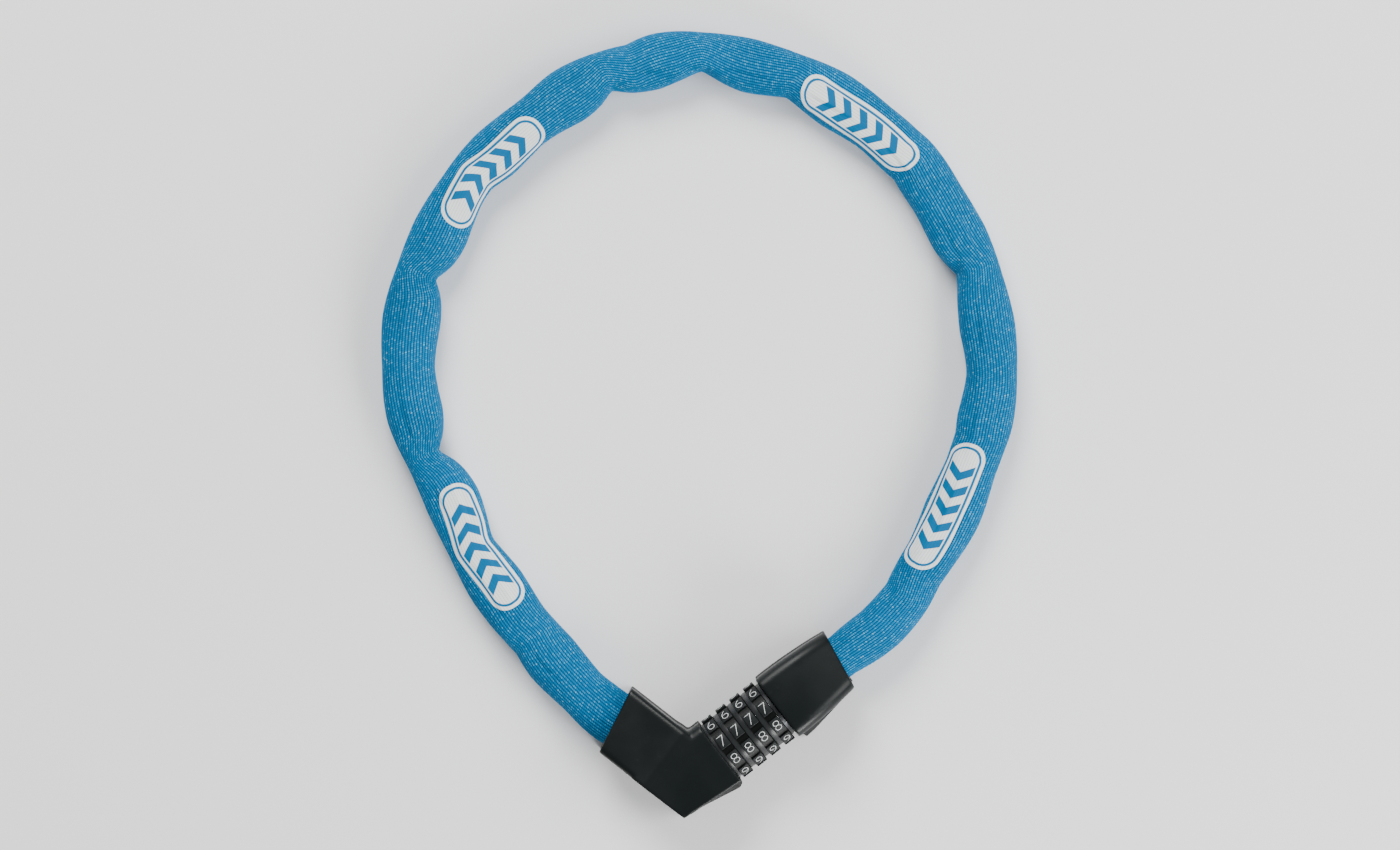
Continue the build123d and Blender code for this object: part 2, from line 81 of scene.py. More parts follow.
# ---- node trees ---------------------------------------------------------------------------------
class Tree:
    """Small helper that adds, fills and joins nodes in one node tree."""

    def __init__(self, tree: bpy.types.NodeTree) -> None:
        """Wrap a shader or geometry node tree."""
        self.tree = tree

    def fill(self, target: Socket, value: object) -> None:
        """Feed an input from a socket, or set its value."""
        if isinstance(value, Socket):
            self.tree.links.new(value, target)
        else:
            target.default_value = value

    def put(self, node: bpy.types.Node, **values: object) -> None:
        """Fill a node's named inputs; spaces in their names are written as underscores."""
        for name, value in values.items():
            self.fill(node.inputs[name.replace("_", " ")], value)

    def node(self, kind: str, inputs: dict | None = None, **settings: object) -> bpy.types.Node:
        """Add a node.

        Args:
            kind: type of the node.
            inputs: input name or number to its value, or to the socket that feeds it.
            settings: properties of the node, set before its inputs.

        Returns:
            The node.
        """
        new = self.tree.nodes.new(kind)
        for name, value in settings.items():
            setattr(new, name, value)
        for key, value in (inputs or {}).items():
            self.fill(new.inputs[key], value)
        return new

    def math(self, operation: str, *values: object) -> Socket:
        """Result of a Math node whose inputs are numbers or sockets."""
        return self.node("ShaderNodeMath", dict(enumerate(values)), operation=operation).outputs[0]

    def mix(self, factor: object, a: object, b: object) -> Socket:
        """Colour between a, at factor 0, and b, at factor 1; each is a value or a socket."""
        ends = {n: value if isinstance(value, Socket) else (*value, 1.0) for n, value in ((6, a), (7, b))}
        return self.node("ShaderNodeMix", {0: factor, **ends}, data_type="RGBA").outputs[2]

    def split(self, vector: Socket) -> list[Socket]:
        """The three numbers of a vector."""
        return list(self.node("ShaderNodeSeparateXYZ", {0: vector}).outputs)

    def join(self, **numbers: object) -> Socket:
        """A vector made of the numbers X, Y and Z; those left out are 0."""
        return self.node("ShaderNodeCombineXYZ", numbers).outputs[0]

    def remap(self, value: Socket, low: float, high: float, to_low: float = 0.0, to_high: float = 1.0,
              kind: str = "SMOOTHSTEP") -> Socket:
        """The value moved from the range low..high to to_low..to_high and clamped, by a step of that kind."""
        ends = dict(enumerate((value, low, high, to_low, to_high)))
        return self.node("ShaderNodeMapRange", ends, interpolation_type=kind).outputs[0]

    def noise(self, vector: Socket, scale: object, detail: float = 2.0, roughness: float = 0.5) -> Socket:
        """Value of a Noise texture."""
        inputs = {"Vector": vector, "Scale": scale, "Detail": detail, "Roughness": roughness}
        return self.node("ShaderNodeTexNoise", inputs).outputs[0]


NUMBER, VECTOR = "NodeSocketFloat", "NodeSocketVector"


def new_group(name: str, inputs: dict[str, tuple[str, float | None]], outputs: tuple[str, ...]) -> tuple:
    """Make an empty shader group with named sockets.

    Args:
        name: the group's name.
        inputs: socket name to its type and its value, if it has one.
        outputs: names of the numbers that it puts out.

    Returns:
        The group, its Tree, its input sockets by name and its output node.
    """
    group = bpy.data.node_groups.new(name, "ShaderNodeTree")
    for socket_name, (kind, default) in inputs.items():
        socket = group.interface.new_socket(name=socket_name, in_out="INPUT", socket_type=kind)
        if default is not None:
            socket.default_value = default
    for socket_name in outputs:
        group.interface.new_socket(name=socket_name, in_out="OUTPUT", socket_type=NUMBER)
    tree = Tree(group)
    return group, tree, tree.node("NodeGroupInput").outputs, tree.node("NodeGroupOutput")


def rib_weave_group() -> bpy.types.NodeTree:
    """Ribbed weave: rows of small stitches that run along the cloth, from a UV map in millimetres.

    Returns:
        A group that puts out the stitch height, the gap mask, a stitch tint and a mask of painted glints on a few
        stitch tops.
    """
    group, t, source, sink = new_group(
        "RibWeave", {"UV": (VECTOR, None), "Rib Pitch": (NUMBER, RIB_PITCH), "Stitch Pitch": (NUMBER, STITCH_PITCH)},
        ("Height", "Gap", "Tint", "Fleck"))
    u, v, _ = t.split(source["UV"])
    rib = t.math("DIVIDE", u, source["Rib Pitch"])
    rib_number, rib_place = t.math("FLOOR", rib), t.math("FRACT", rib)
    half_brick = t.math("MULTIPLY", t.math("MODULO", rib_number, 2.0), 0.5)
    stitch = t.math("ADD", t.math("DIVIDE", v, source["Stitch Pitch"]), half_brick)
    stitch_number, stitch_place = t.math("FLOOR", stitch), t.math("FRACT", stitch)
    across = t.math("POWER", t.math("SINE", t.math("MULTIPLY", rib_place, math.pi)), 0.7)
    slant = t.math("FRACT", t.math("ADD", stitch_place, t.math("MULTIPLY", rib_place, 0.35)))
    along = t.math("POWER", t.math("SINE", t.math("MULTIPLY", slant, math.pi)), 0.6)
    height = t.math("MULTIPLY", across, t.math("ADD", 0.35, t.math("MULTIPLY", along, 0.65)))
    random = t.node("ShaderNodeTexWhiteNoise", {"Vector": t.join(X=rib_number, Y=stitch_number)},
                    noise_dimensions="3D").outputs["Value"]
    # painted glints: a few raised stitch tops picked at random
    glint_mask = t.math("MULTIPLY", t.remap(random, 0.984, 0.988), t.remap(height, 0.6, 0.95))
    t.put(sink, Height=height, Gap=t.remap(height, 0.62, 0.22), Tint=random, Fleck=glint_mask)
    return group


def moulded_grain_group() -> bpy.types.NodeTree:
    """Fine spark-eroded grain of moulded plastic, with faint handling wear.

    Returns:
        A group that puts out a grain height, a cloudy tone and a wear mask.
    """
    group, t, source, sink = new_group(
        "MouldedGrain", {"Vector": (VECTOR, None), "Grain Scale": (NUMBER, 2600.0)}, ("Height", "Tone", "Wear"))
    place = source["Vector"]
    grain = t.node("ShaderNodeTexVoronoi", {"Vector": place, "Scale": source["Grain Scale"]}, feature="SMOOTH_F1")
    t.put(sink, Height=t.math("SUBTRACT", 1.0, grain.outputs["Distance"]), Tone=t.noise(place, 60.0, 3.0),
          Wear=t.remap(t.noise(place, 420.0, 6.0, 0.7), 0.58, 0.74))
    return group


def drawn_metal_group() -> bpy.types.NodeTree:
    """Drawn-metal streaks with small stains.

    Returns:
        A group that puts out a streak value and a stain value.
    """
    group, t, source, sink = new_group(
        "DrawnMetal", {"Vector": (VECTOR, None), "Streak Scale": (NUMBER, 900.0)}, ("Streak", "Stain"))
    stretched = t.node("ShaderNodeVectorMath", {0: source["Vector"], 1: (1.0, 0.12, 1.0)}, operation="MULTIPLY")
    t.put(sink, Streak=t.noise(stretched.outputs[0], source["Streak Scale"], 4.0),
          Stain=t.noise(source["Vector"], 140.0, 5.0))
    return group


class Groups:
    """The shared shader groups, each built once."""

    made: dict[str, bpy.types.NodeTree] = {}

    @classmethod
    def get(cls, builder: Callable[[], bpy.types.NodeTree]) -> bpy.types.NodeTree:
        """The group that a builder function makes, built on first use."""
        if builder.__name__ not in cls.made:
            cls.made[builder.__name__] = builder()
        return cls.made[builder.__name__]


# ---- finishes -----------------------------------------------------------------------------------
@dataclass(frozen=True)
class Finish:
    """Base of every finish: a material's name, main colour and roughness."""

    name: str
    colour: Colour
    roughness: float = 0.5

    def material(self) -> bpy.types.Material:
        """Build the material once and return it."""
        if self.name in bpy.data.materials:
            return bpy.data.materials[self.name]
        made = bpy.data.materials.new(self.name)
        made.use_nodes = True
        made.node_tree.nodes.clear()
        made.diffuse_color = (*self.colour, 1.0)
        t = Tree(made.node_tree)
        shader = t.node("ShaderNodeBsdfPrincipled",
                        {"Base Color": (*self.colour, 1.0), "Roughness": self.roughness})
        t.node("ShaderNodeOutputMaterial", {0: shader.outputs[0]})
        self.detail(t, shader)
        return made

    def detail(self, t: Tree, shader: bpy.types.Node) -> None:
        """Add the finish's own nodes; the plain finish has none."""

    def group(self, t: Tree, builder: Callable[[], bpy.types.NodeTree], **values: object) -> dict[str, Socket]:
        """Place a shared group, fill its named inputs and return its output sockets."""
        new = t.node("ShaderNodeGroup", node_tree=Groups.get(builder))
        t.put(new, **values)
        return new.outputs

    def bump(self, t: Tree, shader: bpy.types.Node, height: Socket, depth: float, strength: float) -> None:
        """Feed a height into the shader's normal; depth is in metres."""
        new = t.node("ShaderNodeBump", {"Strength": strength, "Distance": depth, "Height": height})
        t.put(shader, Normal=new.outputs[0])


@dataclass(frozen=True)
class RibbedCloth(Finish):
    """Ribbed woven sleeve cloth on a UV map in millimetres; depth is in metres."""

    # painted shade colour for the gaps between stitches
    gap_shade_colour: Colour = (0.0, 0.0, 0.0)
    # painted highlight colour for the raised stitch tops
    highlight_colour: Colour = (1.0, 1.0, 1.0)
    # painted glint colour for a few stitch tops
    glint_colour: Colour = (0.5, 0.5, 0.5)
    depth: float = 0.00012
    gap_shade_share: float = 0.95
    highlight_share: float = 0.85
    glint_share: float = 0.45

    def weave(self, t: Tree) -> dict[str, Socket]:
        """Outputs of the weave on the piece's cloth map."""
        cloth = t.node("ShaderNodeUVMap", uv_map="UVMap").outputs[0]
        return self.group(t, rib_weave_group, UV=cloth, Rib_Pitch=RIB_PITCH, Stitch_Pitch=STITCH_PITCH)

    def detail(self, t: Tree, shader: bpy.types.Node) -> None:
        """Stitches, painted shade in the gaps, painted highlights on the raised stitch tops, painted glints on a few
        of them and a soft sheen.
        """
        weave = self.weave(t)
        # painted highlight: raised stitch tops lightened, more on some stitches at random
        stitch_highlight = t.math("MULTIPLY", t.remap(weave["Tint"], 0.45, 1.0, 0.0, self.highlight_share, "LINEAR"),
                       t.remap(weave["Height"], 0.45, 0.95))
        body = t.mix(stitch_highlight, self.colour, self.highlight_colour)
        # painted shade: the gaps between stitches darkened
        body = t.mix(t.math("MULTIPLY", weave["Gap"], self.gap_shade_share), body, self.gap_shade_colour)
        # painted glints on a few stitch tops
        body = t.mix(t.math("MULTIPLY", weave["Fleck"], self.glint_share), body, self.glint_colour)
        cloud = t.noise(t.node("ShaderNodeTexCoord").outputs["Object"], 45.0, 4.0)
        tone = t.node("ShaderNodeHueSaturation", {"Value": t.remap(cloud, 0.3, 0.7, 0.93, 1.07), "Color": body})
        t.put(shader, Base_Color=tone.outputs[0], Roughness=t.remap(weave["Gap"], 0.0, 1.0, self.roughness, 0.95),
              Sheen_Weight=0.2, Sheen_Roughness=0.35, Sheen_Tint=(0.10, 0.50, 0.85, 1.0), Specular_IOR_Level=0.12)
        self.bump(t, shader, weave["Height"], self.depth, 0.9)


@dataclass(frozen=True)
class PatchCloth(RibbedCloth):
    """White woven patch with a thin border line and a row of plain chevrons; sizes in mm of cloth."""

    mark_colour: Colour = (0.0, 0.0, 0.0)
    # share of painted shade in the stitch gaps
    gap_shade_share: float = 0.6
    width: float = 15.6
    length: float = 53.0
    corner: float = 7.2
    line_inset: float = 1.9
    line_width: float = 0.95
    chevron_pitch: float = 7.4
    chevron_count: int = 5
    chevron_half: float = 4.9
    chevron_rake: float = 0.75
    chevron_shift: float = 1.9

    def detail(self, t: Tree, shader: bpy.types.Node) -> None:
        """The weave of the sleeve, bleached, with painted shade in the stitch gaps and the marks woven in."""
        weave = self.weave(t)
        across, along, _ = t.split(t.node("ShaderNodeUVMap", uv_map="Plan").outputs[0])
        marks = t.math("MAXIMUM", self.chevrons(t, across, along), self.border(t, across, along))
        # painted shade: the gaps between stitches greyed
        ground = t.mix(t.math("MULTIPLY", weave["Gap"], self.gap_shade_share), self.colour, self.gap_shade_colour)
        t.put(shader, Base_Color=t.mix(marks, ground, self.mark_colour), Specular_IOR_Level=0.12)
        self.bump(t, shader, weave["Height"], self.depth, 0.6)

    def chevrons(self, t: Tree, across: Socket, along: Socket) -> Socket:
        """Mask of the chevron row.

        Args:
            t: tree of the material.
            across: distance across the patch from its middle.
            along: distance along the patch from its middle.

        Returns:
            1 on a chevron, 0 beside it.
        """
        side = t.math("ABSOLUTE", across)
        raked = t.math("ADD", along, t.math("MULTIPLY", side, self.chevron_rake))
        raked = t.math("ADD", raked, 0.5 * self.chevron_pitch * self.chevron_count - self.chevron_shift)
        step = t.math("DIVIDE", raked, self.chevron_pitch)
        number, place = t.math("FLOOR", step), t.math("FRACT", step)
        stripe = t.remap(t.math("ABSOLUTE", t.math("SUBTRACT", place, 0.5)), 0.26, 0.235)
        inside = t.math("MULTIPLY", t.math("GREATER_THAN", number, -0.5),
                        t.math("LESS_THAN", number, self.chevron_count - 0.5))
        inside = t.math("MULTIPLY", inside, t.remap(side, self.chevron_half + 0.1, self.chevron_half - 0.1))
        return t.math("MULTIPLY", stripe, inside)

    def border(self, t: Tree, across: Socket, along: Socket) -> Socket:
        """Mask of the thin line inside the patch's round-cornered edge.

        Args:
            t: tree of the material.
            across: distance across the patch from its middle.
            along: distance along the patch from its middle.

        Returns:
            1 on the line, 0 beside it.
        """
        past = [t.math("SUBTRACT", t.math("ABSOLUTE", way), size / 2 - self.corner)
                for way, size in ((across, self.width), (along, self.length))]
        clipped = [t.math("MAXIMUM", value, 0.0) for value in past]
        outer = t.math("SQRT", t.math("ADD", *(t.math("MULTIPLY", value, value) for value in clipped)))
        inner = t.math("MINIMUM", t.math("MAXIMUM", *past), 0.0)
        from_line = t.math("ADD", t.math("ADD", outer, inner), self.line_inset - self.corner)
        return t.remap(t.math("ABSOLUTE", from_line), self.line_width / 2 + 0.08, self.line_width / 2 - 0.08)


@dataclass(frozen=True)
class MouldedPlastic(Finish):
    """Moulded plastic with a spark-eroded grain; grain is its depth in metres."""

    grain: float = 0.00002
    grain_scale: float = 2600.0
    coat: float = 0.0
    gloss: float = 0.35

    def detail(self, t: Tree, shader: bpy.types.Node) -> None:
        """Grain, cloudy gloss and faint scuffs."""
        group = self.group(t, moulded_grain_group, Grain_Scale=self.grain_scale,
                           Vector=t.node("ShaderNodeTexCoord").outputs["Object"])
        scuffed = tuple(min(1.0, c * 1.8 + 0.006) for c in self.colour)
        t.put(shader, Base_Color=t.mix(t.math("MULTIPLY", group["Wear"], 0.35), self.colour, scuffed),
              Roughness=t.remap(group["Tone"], 0.3, 0.7, self.roughness - 0.05, self.roughness + 0.06),
              Specular_IOR_Level=self.gloss)
        if self.coat:
            t.put(shader, Coat_Weight=self.coat, Coat_Roughness=0.2)
        self.bump(t, shader, group["Height"], self.grain, 0.8)


@dataclass(frozen=True)
class Metal(Finish):
    """Plated, drawn or cast metal."""

    streak_scale: float = 900.0
    grain: float = 0.00001

    def detail(self, t: Tree, shader: bpy.types.Node) -> None:
        """Streaks in the gloss, stains in the colour."""
        group = self.group(t, drawn_metal_group, Streak_Scale=self.streak_scale,
                           Vector=t.node("ShaderNodeTexCoord").outputs["Object"])
        stained = tuple(c * 0.72 for c in self.colour)
        t.put(shader, Base_Color=t.mix(t.remap(group["Stain"], 0.35, 0.75, 0.0, 0.6), self.colour, stained),
              Roughness=t.remap(group["Streak"], 0.3, 0.7, self.roughness - 0.08, self.roughness + 0.1),
              Metallic=1.0)
        self.bump(t, shader, group["Streak"], self.grain, 0.5)


@dataclass(frozen=True)
class Floor(Finish):
    """Matt studio floor."""

    def detail(self, t: Tree, shader: bpy.types.Node) -> None:
        """Keep it evenly matt."""
        t.put(shader, Specular_IOR_Level=0.1)


# sleeve cloth: the gap colour is painted shade, and the stitch-top and speck colours are painted highlights
SLEEVE_BLUE = RibbedCloth("sleeve_blue_weave", (0.0, 0.138, 0.325), 0.8, gap_shade_colour=(0.0, 0.036, 0.105),
                          highlight_colour=(0.050, 0.315, 0.57), glint_colour=(0.24, 0.48, 0.60))
# patch cloth: its gap colour is painted shade between the stitches
PATCH_WHITE = PatchCloth("patch_white_weave", (0.80, 0.83, 0.83), 0.8, gap_shade_colour=(0.45, 0.53, 0.56),
                         mark_colour=(0.0, 0.120, 0.285), depth=0.00008)
HOUSING_BLACK = MouldedPlastic("housing_black_plastic", (0.0035, 0.0055, 0.0055), 0.36, grain=0.000010, gloss=0.22)
# darker, less glossy copy of the housing plastic for the bottom covers and keels: painted shade
UNDERSIDE_SHADE_BLACK = MouldedPlastic("underside_painted_shade_plastic", (0.0030, 0.0042, 0.0042), 0.5, grain=0.000014,
                                 gloss=0.08)
PAD_BLACK = MouldedPlastic("dial_pad_plastic", (0.010, 0.012, 0.0125), 0.46, grain=0.00004, grain_scale=1900.0,
                           gloss=0.16)
RIM_BLACK = MouldedPlastic("dial_rim_plastic", (0.014, 0.016, 0.017), 0.36, grain=0.000004, coat=0.05, gloss=0.3)
# darkest black for the notch floors between the dial pads and for the plug's mouth ring: painted shade
PAINTED_SHADE_BLACK = MouldedPlastic("painted_shade_black_plastic", (0.003, 0.0035, 0.0035), 0.4, grain=0.000006, gloss=0.15)
DIGIT_WHITE = MouldedPlastic("digit_white_paint", (0.86, 0.88, 0.88), 0.5, grain=0.000008)
CAST_ZINC = Metal("cast_zinc", (0.55, 0.56, 0.58), 0.5, streak_scale=300.0, grain=0.00003)
TURNED_BRASS = Metal("turned_brass", (0.78, 0.60, 0.28), 0.3)
CHAIN_STEEL = Metal("plated_chain_steel", (0.52, 0.52, 0.52), 0.36, streak_scale=500.0)
PLATED_STEEL = Metal("plated_steel", (0.62, 0.62, 0.63), 0.26)
BLACKED_STEEL = Metal("blacked_steel", (0.040, 0.042, 0.044), 0.42)
FLOOR = Floor("studio_floor", (0.93, 0.93, 0.93), 0.9)

NODE_FINISHES = {"housing_black": HOUSING_BLACK, "dial_black": RIM_BLACK, "zinc_core": CAST_ZINC,
                 "brass_disc": TURNED_BRASS, "chain_steel": CHAIN_STEEL, "steel": PLATED_STEEL,
                 "sleeve_blue": SLEEVE_BLUE}
BLACKED_NODES = ("end_collar", "locking_bolt", "lock_sleeve_clamp", "plug_sleeve_clamp")


# ---- mesh helpers -------------------------------------------------------------------------------
def add_object(name: str, mesh: bpy.types.ID) -> bpy.types.Object:
    """Put a mesh or a text in the scene as an object at the origin."""
    piece = bpy.data.objects.new(name, mesh)
    bpy.context.scene.collection.objects.link(piece)
    return piece


def smooth_mesh(mesh: bpy.types.Mesh, sharp_angle: float = 40.0) -> None:
    """Shade a mesh smooth, but keep edges sharper than an angle in degrees."""
    mesh.shade_smooth()
    mesh.set_sharp_from_angle(angle=math.radians(sharp_angle))


def evaluated_mesh(piece: bpy.types.Object) -> bpy.types.Mesh:
    """A new mesh of what an object's modifiers or text make."""
    bpy.context.view_layer.update()
    return bpy.data.meshes.new_from_object(piece.evaluated_get(bpy.context.evaluated_depsgraph_get()))


def bake_modifiers(piece: bpy.types.Object) -> bpy.types.Mesh:
    """Replace an object's mesh by what its modifiers make of it, remove them and return the mesh."""
    mesh = evaluated_mesh(piece)
    piece.modifiers.clear()
    piece.data = mesh
    return mesh


def mesh_of(shape: bmesh.types.BMesh, name: str) -> bpy.types.Mesh:
    """Turn a finished shape into a named mesh and free it."""
    mesh = bpy.data.meshes.new(name)
    shape.to_mesh(mesh)
    shape.free()
    return mesh


def closed_mesh(name: str, points: np.ndarray, faces: list) -> bpy.types.Mesh:
    """A mesh of points in millimetres, with its faces turned outwards."""
    mesh = bpy.data.meshes.new(name)
    mesh.from_pydata((points * MM).tolist(), [], faces)
    shape = bmesh.new()
    shape.from_mesh(mesh)
    bmesh.ops.recalc_face_normals(shape, faces=shape.faces[:])
    shape.to_mesh(mesh)
    shape.free()
    return mesh


# ---- route of the chain -------------------------------------------------------------------------
class Route:
    """Smooth middle line of the chain, measured in links from the lock's anchor."""

    LINKS = 37
    SAMPLES = 6000
    POINTS = [(-21.6, -117.4, 10.8), (-32.2, -112.0, 10.6), (-50, -96, 9.2), (-70, -73, 8), (-97, -24, 8),
              (-110, 10, 8), (-110, 40, 8), (-93, 85, 8), (-60, 119, 8), (-15, 139, 8), (30, 134, 8),
              (78, 103, 8), (102, 65, 8), (111, 21, 8), (105, -10, 8), (80, -63, 8.4), (66, -79, 9.4),
              (54, -88, 10.6), (46.2, -94.1, 10.8)]     # millimetres, as the chain's own route

    def __init__(self) -> None:
        """Fit a natural cubic spline and measure it."""
        points = np.array(self.POINTS, float)
        knots = np.concatenate([[0.0], np.cumsum(np.linalg.norm(np.diff(points, axis=0), axis=1))])
        step = np.diff(knots)
        count = len(points)
        matrix, right = np.eye(count), np.zeros((count, 3))
        slope = np.diff(points, axis=0) / step[:, None]
        for i in range(1, count - 1):
            matrix[i, i - 1:i + 2] = step[i - 1], 2 * (step[i - 1] + step[i]), step[i]
            right[i] = 6 * (slope[i] - slope[i - 1])
        bend = np.linalg.solve(matrix, right)
        fine = np.linspace(0.0, knots[-1], self.SAMPLES)
        i = np.clip(np.searchsorted(knots, fine, side="right") - 1, 0, count - 2)
        after, before, h = (knots[i + 1] - fine)[:, None], (fine - knots[i])[:, None], step[i][:, None]
        self.line = (bend[i] * after ** 3 + bend[i + 1] * before ** 3) / (6 * h) \
            + (points[i] / h - bend[i] * h / 6) * after + (points[i + 1] / h - bend[i + 1] * h / 6) * before
        run = np.concatenate([[0.0], np.cumsum(np.linalg.norm(np.diff(self.line, axis=0), axis=1))])
        self.pitch = run[-1] / self.LINKS
        self.links = run / self.pitch

    def place(self, link: np.ndarray) -> np.ndarray:
        """Points of the middle line, in millimetres, at places counted in links."""
        return np.stack([np.interp(link, self.links, self.line[:, k]) for k in range(3)], axis=-1)

    def heading(self, link: np.ndarray) -> np.ndarray:
        """Level unit directions of the middle line at places counted in links."""
        ahead = self.place(np.minimum(link + 0.25, self.LINKS)) - self.place(np.maximum(link - 0.25, 0.0))
        ahead[:, 2] = 0.0
        return ahead / np.linalg.norm(ahead, axis=1)[:, None]


# ---- sleeve -------------------------------------------------------------------------------------
class Side(Enum):
    """Side of the sleeve, seen from above."""

    INNER = 1
    OUTER = -1


@dataclass(frozen=True)
class Fold:
    """Pinch of the sleeve's edge where the chain bends: place and length in links, depth in mm."""

    link: float
    depth: float
    length: float
    side: Side = Side.INNER
    slant: float = 0.35
    steepness: float = 1.6
    power: float = 1.25

    def pinch(self, q: float) -> float:
        """How far the fold draws the edge in, in mm, at a place in links."""
        return self.depth * math.exp(-self.steepness * abs(q - self.link) ** self.power / self.length)


@dataclass
class Sleeve:
    """Woven hose over the chain: flat below, bulging over each flat link, pinched at its folds.

    Sizes are in mm, and places along the hose are in links.
    """

    route: Route
    start: float = 0.42
    end: float = 36.75
    ring_step: float = 1.5
    ribs: int = 54
    per_rib: int = 4
    wall: float = 0.5
    half_width: float = 10.5
    bulge: tuple = (0.6, 0.4)     # on the loop's inside and outside
    facet: float = 0.94
    waves: tuple = ((0.35, 0.9), (0.25, 2.3))     # depth and rate of each slow wave of its sides
    grip: tuple = (0.6, 36.4)     # where the two mouths hold it
    clearance: float = 0.35
    mouth_start: float = 35.4
    mouth_narrowing: float = 2.1
    crown: float = 7.6
    crown_swing: float = 0.55
    belly: float = 7.8
    squareness: tuple = (3.6, 2.5)     # below and above
    link_half_width: float = 7.2
    link_half_length: float = 13.9
    link_corner: float = 6.4
    link_wire: float = 4.0
    rib_height: float = 0.13
    crease_start: float = 0.25     # share of the half width, like its ramp
    crease_ramp: float = 0.6
    valley_share: float = 0.55     # of the fold's depth, like the lip's
    valley_width: float = 0.22
    lip_share: float = 0.30
    lip_width: float = 0.26
    lip_place: float = 0.42
    crumple: float = 0.28
    roof_gap: float = 0.15
    roof_side: float = 0.4
    roof_slope: float = 0.45
    roof_reach: float = 4.2
    table_gap: float = 0.12
    cuts: tuple = (6.5, 14.0, 23.0, 31.5)
    hinge_links: tuple = (3, 10, 18, 28, 35)
    blend_reach: float = 16.0
    folds: tuple = (Fold(5.4, 2.2, 0.9), Fold(7.6, 5.8, 0.4), Fold(11.5, 5.0, 0.4, slant=-0.4),
                    Fold(13.9, 2.2, 0.8), Fold(17.4, 4.6, 0.45), Fold(19.5, 5.4, 0.8, slant=-0.3),
                    Fold(21.5, 1.8, 0.5), Fold(24.6, 2.0, 0.6), Fold(27.2, 3.4, 0.5, slant=-0.35),
                    Fold(30.9, 1.8, 1.0), Fold(34.6, 2.2, 0.8), Fold(3.1, 1.9, 0.7, Side.OUTER),
                    Fold(15.8, 0.9, 0.9, Side.OUTER), Fold(18.0, 1.6, 0.5, Side.OUTER),
                    Fold(24.2, 0.8, 0.9, Side.OUTER), Fold(34.0, 1.4, 0.9, Side.OUTER))
    seed: int = 7
    places: np.ndarray = field(init=False)
    outer: np.ndarray = field(init=False)
    inner: np.ndarray = field(init=False)

    def __post_init__(self) -> None:
        """Work out every ring of the hose once."""
        count = int((self.end - self.start) * self.route.pitch / self.ring_step)
        self.places = np.linspace(self.start, self.end, count)
        drift = np.random.default_rng(self.seed).uniform(0, 2 * math.pi, (6, 2))
        middles, headings = self.route.place(self.places), self.route.heading(self.places)
        self.outer, self.inner = (
            np.stack([self.ring(q, m, t, drift, inset) for q, m, t in zip(self.places, middles, headings)])
            for inset in (0.0, self.wall))

    @property
    def around(self) -> int:
        """Number of points in one ring."""
        return self.ribs * self.per_rib

    def half_widths(self, q: float, drift: np.ndarray) -> tuple[float, float]:
        """Half widths of the hose at a place.

        Args:
            q: place along the chain.
            drift: phases of the slow unevenness.

        Returns:
            The half widths towards the inside and the outside of the loop.
        """
        facet = math.asin(self.facet * math.cos(math.pi * (q - 0.5))) / math.asin(self.facet) * self.loose(q)
        widths = []
        for n, side in enumerate(Side):
            slow = sum(deep * math.sin(rate * q + phase) for (deep, rate), phase in zip(self.waves, drift[n]))
            width = self.half_width + self.bulge[n] * facet + slow * self.loose(q)
            for fold in self.folds:
                if fold.side is side:
                    width -= fold.pinch(q)
            widths.append(max(width, self.chain_half_width(q) + self.wall + self.clearance))
        narrow = self.mouth_narrowing * min(1.0, max(0.0, q - self.mouth_start))
        return widths[0] - narrow, widths[1] - narrow

    def chain_half_width(self, q: float) -> float:
        """Half width of the chain at a place: wide at a flat link, narrow between two.

        Args:
            q: place along the chain.

        Returns:
            The half width.
        """
        nearest_flat = 2 * round((q - 0.5) / 2) + 0.5
        into = self.link_half_length - abs(q - nearest_flat) * self.route.pitch
        if into <= 0:
            return self.link_wire / 2
        corner = self.link_corner
        return self.link_half_width - corner + math.sqrt(corner ** 2 - max(0.0, corner - into) ** 2)

    def loose(self, q: float) -> float:
        """0 where the hose is gripped in a mouth, 1 from one link away."""
        return min(1.0, max(0.0, q - self.grip[0]), max(0.0, self.grip[1] - q))

    def ring(self, q: float, middle: np.ndarray, heading: np.ndarray, drift: np.ndarray,
             inset: float) -> np.ndarray:
        """One ring of points, from below round by the loop's inside, evenly spaced.

        Args:
            q: place along the chain.
            middle: point of the middle line.
            heading: level direction of the chain.
            drift: phases of the slow unevenness.
            inset: how far inside the outer face.

        Returns:
            The ring's points.
        """
        towards_inside, towards_outside = (w - inset for w in self.half_widths(q, drift))
        angle = np.linspace(-math.pi / 2, 1.5 * math.pi, 8 * self.around, endpoint=False)
        c, s = np.cos(angle), np.sin(angle)
        rise = self.crown - self.crown_swing * math.cos(math.pi * (q - 0.5)) * self.loose(q)
        low = max(middle[2] - self.belly, self.table_gap) + inset
        high = middle[2] + rise - inset
        square = np.where(s < 0, 2 / self.squareness[0], 2 / self.squareness[1])
        x = np.where(c > 0, towards_inside, towards_outside) * np.sign(c) * np.abs(c) ** square
        z = (high + low) / 2 + (high - low) / 2 * np.sign(s) * np.abs(s) ** square
        z = self.creased(q, x, z, (towards_inside, towards_outside), s)
        roof = middle[2] + self.link_half_width + self.wall + self.roof_gap - inset
        past = np.maximum(np.abs(x) - self.link_wire / 2 - self.roof_side, 0.0)
        over_link = roof - self.roof_slope * past ** 2
        z = np.where(s > 0, np.maximum(z, np.where(np.abs(x) < self.roof_reach, over_link, z)), z)
        loop_x, loop_z = np.append(x, x[0]), np.append(z, z[0])
        run = np.concatenate([[0.0], np.cumsum(np.hypot(np.diff(loop_x), np.diff(loop_z)))])
